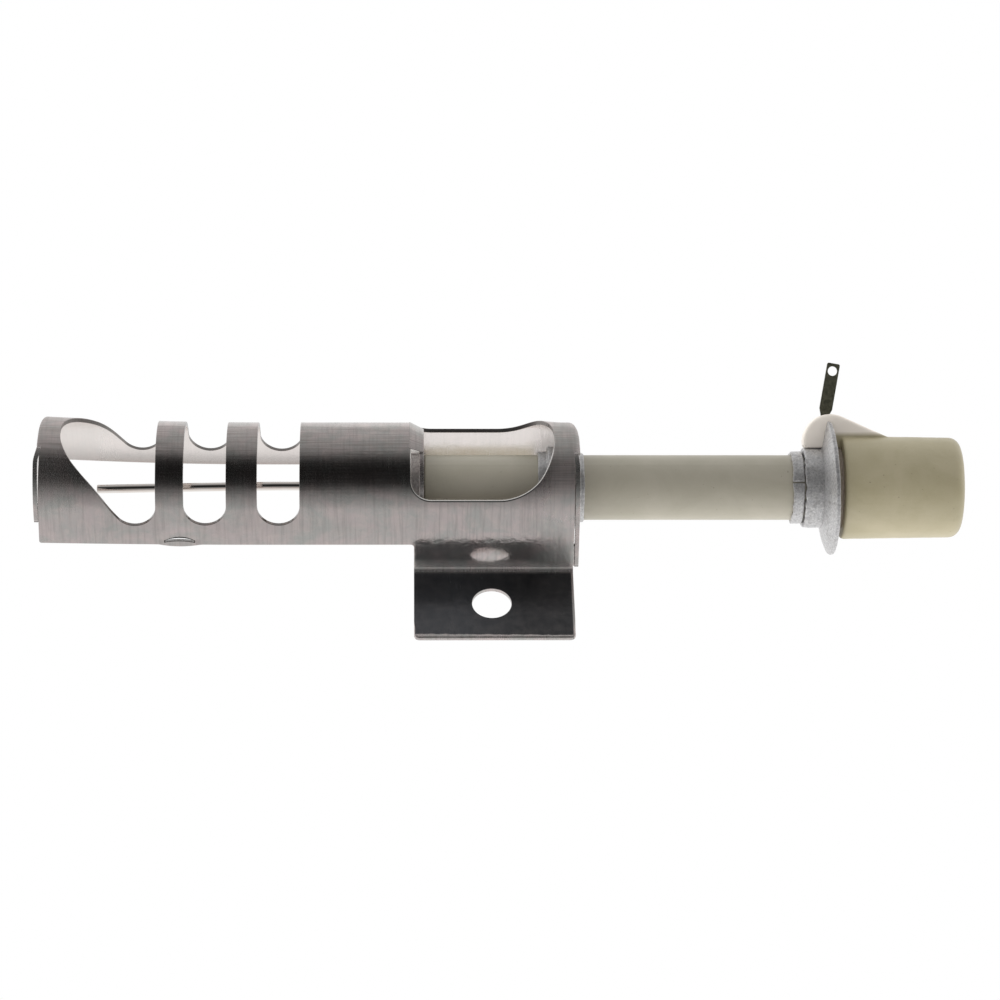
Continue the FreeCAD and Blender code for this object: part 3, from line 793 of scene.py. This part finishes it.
def cast_head(material):
    """The head with the soft edges and faint unevenness of a cast ceramic."""
    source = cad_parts["insulator_head"]
    piece = bpy.data.objects.new("cast_head", source.data.copy())
    piece.data.materials.clear()
    piece.data.materials.append(material)
    bpy.context.scene.collection.objects.link(piece)
    remesh = piece.modifiers.new("remesh", "REMESH")
    remesh.mode = "VOXEL"
    remesh.voxel_size = 0.2 * MM
    remesh.use_smooth_shade = True
    smooth = piece.modifiers.new("smooth", "SMOOTH")
    smooth.factor = 0.5
    smooth.iterations = 8
    clouds = bpy.data.textures.new("cast_unevenness", "CLOUDS")
    clouds.noise_scale = 3.0 * MM
    uneven = piece.modifiers.new("uneven", "DISPLACE")
    uneven.texture = clouds
    uneven.texture_coords = "LOCAL"
    uneven.strength = 0.08 * MM
    bpy.context.view_layer.update()
    graph = bpy.context.evaluated_depsgraph_get()
    final = bpy.data.meshes.new_from_object(piece.evaluated_get(graph))
    piece.modifiers.clear()
    piece.data = final
    bpy.context.scene.collection.objects.unlink(piece)
    place_piece(piece, "insulator_head")


# ------------------------ materials

def opaque(colour):
    """A plain colour with its alpha. The output of a node stays as it is."""
    return colour + (1.0,) if isinstance(colour, tuple) else colour


class Nodes:
    """Short ways to build the node tree of a material or of the world."""

    def __init__(self, owner):
        owner.use_nodes = True
        self.tree = owner.node_tree
        self.tree.nodes.clear()
        self.coordinates = self.add("ShaderNodeTexCoord").outputs

    def add(self, kind, inputs=None, **settings):
        node = self.tree.nodes.new(kind)
        for key, value in settings.items():
            setattr(node, key, value)
        for key, value in (inputs or {}).items():
            if isinstance(value, bpy.types.NodeSocket):
                self.tree.links.new(value, node.inputs[key])
            else:
                node.inputs[key].default_value = value
        return node

    def scaled(self, vector, scale):
        return self.add("ShaderNodeVectorMath", {0: vector, 1: scale}, operation="MULTIPLY").outputs[0]

    def noise(self, vector, scale, detail=3.0, roughness=0.55, distortion=0.0):
        return self.add("ShaderNodeTexNoise", {
            "Vector": vector, "Scale": scale, "Detail": detail, "Roughness": roughness,
            "Distortion": distortion}).outputs["Fac"]

    def remap(self, value, low, high, to_low=0.0, to_high=1.0):
        return self.add("ShaderNodeMapRange", {
            "Value": value, "From Min": low, "From Max": high, "To Min": to_low,
            "To Max": to_high}).outputs["Result"]

    def between(self, share, start, end):
        return self.remap(share, 0.0, 1.0, start, end)

    def math(self, operation, one, two=0.0):
        return self.add("ShaderNodeMath", {0: one, 1: two}, operation=operation).outputs[0]

    def times(self, one, two):
        return self.math("MULTIPLY", one, two)

    def plus(self, one, two):
        return self.math("ADD", one, two)

    def mix(self, factor, one, two):
        return self.add("ShaderNodeMix", {0: factor, 6: opaque(one), 7: opaque(two)},
                        data_type="RGBA").outputs[2]

    def bump(self, height, strength, distance, normal=None):
        inputs = {"Height": height, "Strength": strength, "Distance": distance * MM}
        if normal is not None:
            inputs["Normal"] = normal
        return self.add("ShaderNodeBump", inputs).outputs["Normal"]


class MaterialNodes(Nodes):
    """A material's nodes, with its coordinates in millimetres."""

    def __init__(self, name):
        self.material = bpy.data.materials.new(name)
        super().__init__(self.material)
        self.object_mm = self.scaled(self.coordinates["Object"], (1000, 1000, 1000))
        self.flat_mm = self.add("ShaderNodeAttribute", attribute_name="flat").outputs["Vector"]

    def finish(self, colour, roughness, normal, metallic=0.0, specular=0.5):
        surface = self.add("ShaderNodeBsdfPrincipled", {
            "Base Color": colour, "Roughness": roughness, "Normal": normal,
            "Metallic": metallic, "Specular IOR Level": specular})
        self.add("ShaderNodeOutputMaterial", {"Surface": surface.outputs[0]})
        return self.material


def stainless_material():
    """Rolled stainless sheet: grain round the arch, warm blotches, painted shade on the cut edges and
    a painted highlight round the long window, painted light on the far wall's inner face, hazy ends,
    and a darker top on the foot. The flat coordinates are the place along the object, the run round
    the sheet from the crown, and the depth below the outer skin."""
    n = MaterialNodes("stainless_brushed")
    parts = n.add("ShaderNodeSeparateXYZ", {0: n.flat_mm})
    x, run, depth = parts.outputs[0], parts.outputs[1], parts.outputs[2]

    # Grain round the arch, streaks, draw lines along the crown, and stains.
    grain = n.noise(n.scaled(n.flat_mm, (5.0, 0.16, 0.5)), 1.0, 4.0, 0.6)
    streak = n.noise(n.scaled(n.flat_mm, (1.6, 0.10, 0.5)), 1.0, 3.0, 0.6, 0.3)
    along = n.noise(n.scaled(n.flat_mm, (0.07, 3.2, 0.5)), 1.0, 4.0, 0.6)
    blotch = n.noise(n.flat_mm, 0.13, 4.0, 0.65, 0.8)
    patch = n.noise(n.flat_mm, 0.5, 3.0, 0.6, 0.4)
    crown = n.remap(n.math("ABSOLUTE", run), 7.0, 12.0, 1.0, 0.0)
    colour = n.mix(n.remap(blotch, 0.40, 0.60), (0.62, 0.55, 0.54), (0.525, 0.52, 0.50))
    colour = n.mix(n.remap(patch, 0.45, 0.70, 0.0, 0.5), colour, (0.70, 0.61, 0.58))
    colour = n.mix(n.remap(streak, 0.46, 0.70, 0.0, 0.42), colour, (0.36, 0.34, 0.325))
    lines = n.times(crown, n.remap(along, 0.42, 0.66, 0.0, 0.62))
    colour = n.mix(lines, colour, (0.34, 0.295, 0.275))
    # Painted light: the far wall's inner face is painted paler than the rest of the sheet.
    painted_inner_light = n.times(n.remap(depth, SHEET - 0.05, SHEET - 0.01), n.remap(run, 0.0, -6.0))
    colour = n.mix(n.between(painted_inner_light, 0.0, 0.75), colour, (0.88, 0.83, 0.80))

    # Cut edges: painted shade darkens them, but not on the foot and the plates, and round the long
    # window they get a painted highlight.
    on_wall = TANGENT_RUN + 2.0
    skin = n.math("ABSOLUTE", n.math("SUBTRACT", depth, SHEET / 2))
    rim = n.remap(skin, SHEET / 2 - 0.02, SHEET / 2 - 0.12)
    in_box = n.remap(x, BOX_START - 1.0, BOX_START - 0.6)
    lit = n.times(in_box, n.remap(run, -1.0, 3.0))
    lit = n.times(lit, n.math("LESS_THAN", run, on_wall))
    on_foot = n.math("GREATER_THAN", run, TANGENT_RUN + WALL_LENGTH + 1.0)
    on_plate = n.math("LESS_THAN", x, ARCH_START - 5.0)
    plain = n.math("MAXIMUM", n.math("MAXIMUM", lit, on_foot), on_plate)
    painted_edge_shade = n.times(rim, n.between(plain, 0.80, 0.0))
    # Painted shade on the cut edges, then a painted highlight on those round the long window.
    colour = n.mix(painted_edge_shade, colour, (0.15, 0.14, 0.13))
    colour = n.mix(n.times(rim, lit), colour, (0.97, 0.95, 0.92))

    # Darker on top of the foot. A band along the outer edge is left undarkened, with a dark line in
    # it.
    band = n.plus(n.remap(x, BOX_START, BOX_END, 0.85, 0.5),
                  n.remap(patch, 0.3, 0.7, -0.1, 0.1))
    from_edge = n.math("SUBTRACT", foot_edge_run, run)
    foot_darkening = n.remap(run, foot_start_run - 0.8, foot_start_run + 0.4)
    foot_darkening = n.times(foot_darkening, n.remap(depth, 0.10, 0.03))
    foot_darkening = n.times(foot_darkening, n.remap(n.math("SUBTRACT", from_edge, band), 0.0, 0.15))
    foot_darkening = n.times(foot_darkening, n.remap(x, BOX_END - 0.3, BOX_END - 0.5))
    foot_darkening = n.times(foot_darkening, n.remap(patch, 0.3, 0.7, 1.0, 0.93))
    off_edge_line = n.math("ABSOLUTE", n.math("SUBTRACT", from_edge, 0.22))
    edge_line = n.times(n.remap(off_edge_line, 0.04, 0.10, 1.0, 0.0),
                    n.remap(patch, 0.40, 0.55))
    colour = n.mix(n.times(edge_line, on_foot), colour, (0.22, 0.20, 0.19))
    foot_dark_colour = n.mix(n.remap(x, -6.0, 6.0), (0.085, 0.087, 0.095), (0.05, 0.05, 0.053))
    colour = n.mix(foot_darkening, colour, foot_dark_colour)

    # Haze: dull towards both ends and just above the foot's bend.
    spark_end = n.times(n.remap(x, ARCH_START + 13.0, ARCH_START + 3.0, 0.0, 1.5),
                       n.remap(run, 5.0, 1.0, 0.25, 1.0))
    spark_end = n.times(spark_end, n.between(on_plate, 1.0, 0.3))
    haze = n.math("MAXIMUM", n.remap(x, BOX_END - 8.0, BOX_END - 3.0), spark_end)
    above_bend = n.remap(run, foot_start_run - 3.4, foot_start_run - 1.6, 0.0, 1.5)
    haze = n.math("MAXIMUM", haze, above_bend)
    undarkened = n.between(foot_darkening, 1.0, 0.0)
    haze = n.times(haze, undarkened)
    metal = n.math("SUBTRACT", n.between(foot_darkening, 1.0, 0.72), n.times(haze, 0.17))

    # The wall and the undarkened parts of the foot are smoother than the arch.
    polished = n.times(n.remap(run, TANGENT_RUN - 1.0, on_wall), undarkened)
    roughness = n.plus(n.remap(blotch, 0.3, 0.7, 0.13, 0.20),
                       n.remap(grain, 0.3, 0.7, 0.0, 0.10))
    roughness = n.times(roughness, n.between(polished, 1.0, 0.5))
    roughness = n.plus(roughness, n.times(haze, 0.12))
    height = n.plus(n.times(grain, 0.6), n.times(streak, 0.8))
    height = n.plus(height, n.times(n.times(along, crown), 0.8))
    normal = n.bump(height, 0.12, 0.03)
    normal = n.bump(patch, 0.10, 0.25, normal)
    return n.finish(colour, roughness, normal, metal)


def zinc_material():
    """Dull zinc plating: speckled crystals, stains and small pits."""
    n = MaterialNodes("zinc_speckled")
    speckle = n.noise(n.object_mm, 2.6, 5.0, 0.75)
    crystal = n.add("ShaderNodeTexVoronoi", {"Vector": n.object_mm, "Scale": 1.9}).outputs["Color"]
    crystal = n.add("ShaderNodeSeparateColor", {"Color": crystal}).outputs[0]
    stain = n.noise(n.object_mm, 0.45, 4.0, 0.6, 0.8)
    pits = n.noise(n.object_mm, 5.5, 2.0, 0.5)
    colour = n.mix(n.remap(speckle, 0.36, 0.66), (0.40, 0.395, 0.395), (0.80, 0.79, 0.78))
    colour = n.mix(n.between(crystal, 0.0, 0.35), colour, (0.60, 0.595, 0.61))
    colour = n.mix(n.remap(stain, 0.55, 0.75, 0.0, 0.55), colour, (0.28, 0.26, 0.25))
    roughness = n.remap(speckle, 0.3, 0.7, 0.50, 0.30)
    height = n.plus(n.times(speckle, 0.8), n.times(pits, 0.5))
    normal = n.bump(height, 0.45, 0.12)
    return n.finish(colour, roughness, normal, metallic=0.7)


def ceramic_material(name, dark, light, tint, gloss, painted_light_beyond=None):
    """Unglazed ceramic: fine grain, faint firing marks and a few dark specks. Beyond a radius
    from the axis, if one is given, and in front of the flange disc, painted light makes it paler."""
    n = MaterialNodes(name)
    cloud = n.noise(n.object_mm, 0.12, 4.0, 0.6, 0.5)
    grain = n.noise(n.object_mm, 7.0, 4.0, 0.7)
    turning = n.noise(n.scaled(n.object_mm, (3.0, 0.15, 0.15)), 1.0, 3.0, 0.6)
    speck = n.noise(n.object_mm, 1.7, 2.0, 0.4)
    colour = n.mix(n.remap(cloud, 0.35, 0.65), dark, light)
    colour = n.mix(n.remap(grain, 0.35, 0.7, 0.0, 0.25), colour, tint)
    if painted_light_beyond:
        parts = n.add("ShaderNodeSeparateXYZ", {0: n.object_mm})
        y = n.math("SUBTRACT", parts.outputs[1], axis_y)
        z = n.math("SUBTRACT", parts.outputs[2], core_z)
        radius = n.math("SQRT", n.plus(n.times(y, y), n.times(z, z)))
        # Painted light: the ear, beyond the radius and in front of the disc, is painted paler than the
        # head.
        painted_light = n.math("MAXIMUM", n.remap(radius, painted_light_beyond, painted_light_beyond + 0.8),
                      n.remap(parts.outputs[0], disc_high.x + 0.4, disc_low.x + 0.4))
        colour = n.mix(painted_light, colour, (0.95, 0.875, 0.79))
    colour = n.mix(n.remap(speck, 0.74, 0.80, 0.0, 0.5), colour, (0.10, 0.085, 0.06))
    roughness = n.remap(grain, 0.3, 0.7, gloss, gloss + 0.14)
    height = n.plus(n.times(grain, 0.5), n.times(turning, 0.5))
    normal = n.bump(height, 0.25, 0.05)
    return n.finish(colour, roughness, normal, specular=0.6)


def wire_material():
    """Drawn alloy wire: polished, with draw lines along it and a brown heat tint."""
    n = MaterialNodes("drawn_wire")
    lines = n.noise(n.scaled(n.object_mm, (0.08, 14.0, 14.0)), 1.0, 3.0, 0.6)
    tint = n.noise(n.object_mm, 0.2, 3.0, 0.6)
    colour = n.mix(n.remap(tint, 0.35, 0.65), (0.90, 0.87, 0.84), (0.84, 0.78, 0.73))
    colour = n.mix(n.remap(lines, 0.4, 0.7, 0.0, 0.35), colour, (0.55, 0.48, 0.43))
    roughness = n.remap(lines, 0.3, 0.7, 0.05, 0.12)
    return n.finish(colour, roughness, n.bump(lines, 0.06, 0.03), metallic=1.0)


def blade_material():
    """Oxidised steel blade: mottled olive, scuffed lighter in places."""
    n = MaterialNodes("blade_oxidised")
    mottle = n.noise(n.object_mm, 1.5, 5.0, 0.7, 0.5)
    scuff = n.noise(n.object_mm, 3.2, 4.0, 0.7)
    colour = n.mix(n.remap(mottle, 0.35, 0.65), (0.10, 0.102, 0.07), (0.20, 0.195, 0.14))
    colour = n.mix(n.remap(scuff, 0.62, 0.75, 0.0, 0.6), colour, (0.36, 0.35, 0.30))
    roughness = n.remap(mottle, 0.3, 0.7, 0.38, 0.58)
    return n.finish(colour, roughness, n.bump(mottle, 0.4, 0.10), metallic=0.7)


def fibre_material():
    n = MaterialNodes("gasket_fibre_brown")
    fibres = n.noise(n.scaled(n.object_mm, (6.0, 1.5, 1.5)), 1.0, 4.0, 0.7)
    colour = n.mix(n.remap(fibres, 0.3, 0.7), (0.26, 0.21, 0.165), (0.42, 0.36, 0.30))
    return n.finish(colour, 0.85, n.bump(fibres, 0.6, 0.15))


def cement_material():
    n = MaterialNodes("refractory_cement")
    grit = n.noise(n.object_mm, 3.5, 5.0, 0.75)
    colour = n.mix(n.remap(grit, 0.3, 0.7), (0.45, 0.42, 0.36), (0.68, 0.65, 0.58))
    return n.finish(colour, 0.9, n.bump(grit, 0.7, 0.2))


# ------------------------ pieces

stainless = stainless_material()
zinc = zinc_material()
tube_ceramic = ceramic_material("tube_ceramic_olive", (0.345, 0.32, 0.25), (0.39, 0.36, 0.29),
                                (0.45, 0.42, 0.345), 0.34)
head_ceramic = ceramic_material("head_ceramic_straw", (0.37, 0.325, 0.20), (0.425, 0.375, 0.245),
                                (0.50, 0.45, 0.32), 0.36, painted_light_beyond=9.5)
wire = wire_material()
cement = cement_material()

pressed_shield(stainless)
drawn_rod(wire)
front_bush(zinc)
split_ring(zinc)
collar(zinc)
flange(zinc)
cast_head(head_ceramic)

KEPT_NODES = {
    "insulator_tube": tube_ceramic,
    "nose_ferrule": zinc,
    "front_seal": cement,
    "head_cement": cement,
    "head_gasket": fibre_material(),
    "rod_crimp_sleeve": wire,
    "terminal_blade": blade_material(),
}
for node_name, material in KEPT_NODES.items():
    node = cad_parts[node_name]
    for slot in node.material_slots:
        slot.material = material

blade_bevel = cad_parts["terminal_blade"].modifiers.new("edge_wear", "BEVEL")
blade_bevel.width = 0.08 * MM
blade_bevel.segments = 2
blade_bevel.limit_method = "ANGLE"


# ------------------------ floor, light and camera

def plain_floor():
    """Pale floor just under the object. It looks white, and sends soft light back up."""
    half = 0.9
    disc_reach = 12.35
    lowest = min(core_z - disc_reach, 0.0) * MM
    mesh = bpy.data.meshes.new("floor")
    mesh.from_pydata([(-half, -half, lowest), (half, -half, lowest), (half, half, lowest),
                      (-half, half, lowest)], [], [(0, 1, 2, 3)])
    floor = bpy.data.objects.new("floor", mesh)
    bpy.context.scene.collection.objects.link(floor)
    n = MaterialNodes("pale_floor")
    y = n.add("ShaderNodeSeparateXYZ", {0: n.object_mm}).outputs[1]
    glow = n.remap(y, -30.0, 15.0, 0.62, 0.95)
    path = n.add("ShaderNodeLightPath").outputs
    sent = n.add("ShaderNodeMix", {0: path["Is Glossy Ray"], 2: FLOOR_GLOW, 3: glow}).outputs[0]
    seen = n.add("ShaderNodeMix", {0: path["Is Camera Ray"], 2: sent, 3: 1.0}).outputs[0]
    light = n.add("ShaderNodeEmission", {"Strength": seen})
    n.add("ShaderNodeOutputMaterial", {"Surface": light.outputs[0]})
    n.material.cycles.emission_sampling = "NONE"
    mesh.materials.append(n.material)


def studio_world():
    """World of soft light. Polished surfaces see the studio, and matt ones the fill light."""
    world = bpy.data.worlds.new("studio")
    bpy.context.scene.world = world
    world.cycles.sampling_method = "NONE"
    n = Nodes(world)
    parts = n.add("ShaderNodeSeparateXYZ", {0: n.coordinates["Generated"]}).outputs
    angle = n.math("ARCTAN2", parts[2], n.times(parts[1], -1.0))
    share = n.remap(angle, radians(-90), radians(180))

    def ramp(levels):
        node = n.add("ShaderNodeValToRGB", {0: share})
        stops = node.color_ramp.elements
        stops.remove(stops[1])
        for index, (direction, level) in enumerate(levels):
            position = (direction + 90) / 270
            stop = stops[0] if index == 0 else stops.new(position)
            stop.position = position
            stop.color = (level, level, level, 1)
        return node.outputs[0]

    path = n.add("ShaderNodeLightPath").outputs
    light = n.mix(path["Is Glossy Ray"], ramp(FILL), ramp(STUDIO))
    light = n.mix(path["Is Camera Ray"], light, (1, 1, 1))
    background = n.add("ShaderNodeBackground", {"Color": light})
    n.add("ShaderNodeOutputWorld", {"Surface": background.outputs[0]})


def studio_camera():
    """Camera above the near side. It is rolled so that the object's length lies level."""
    back = Vector((sin(VIEW_AZIMUTH) * cos(VIEW_ELEVATION),
                   -cos(VIEW_AZIMUTH) * cos(VIEW_ELEVATION), sin(VIEW_ELEVATION)))
    aim = Vector((1.7, axis_y - 2.12, arch_z - 2.05))
    data = bpy.data.cameras.new("camera")
    data.lens = VIEW_LENS
    data.sensor_width = 36.0
    data.clip_start, data.clip_end = 0.01, 10
    camera = bpy.data.objects.new("camera", data)
    bpy.context.scene.collection.objects.link(camera)
    camera.location = (aim + back * VIEW_DISTANCE) * MM
    camera.rotation_mode = "QUATERNION"
    right = (Vector((1, 0, 0)) - back * back.x).normalized()
    turned_axes = Matrix((right, back.cross(right), back)).transposed()
    camera.rotation_quaternion = turned_axes.to_quaternion()
    bpy.context.scene.camera = camera


plain_floor()
studio_world()
studio_camera()
bpy.context.scene.view_settings.view_transform = "Standard"
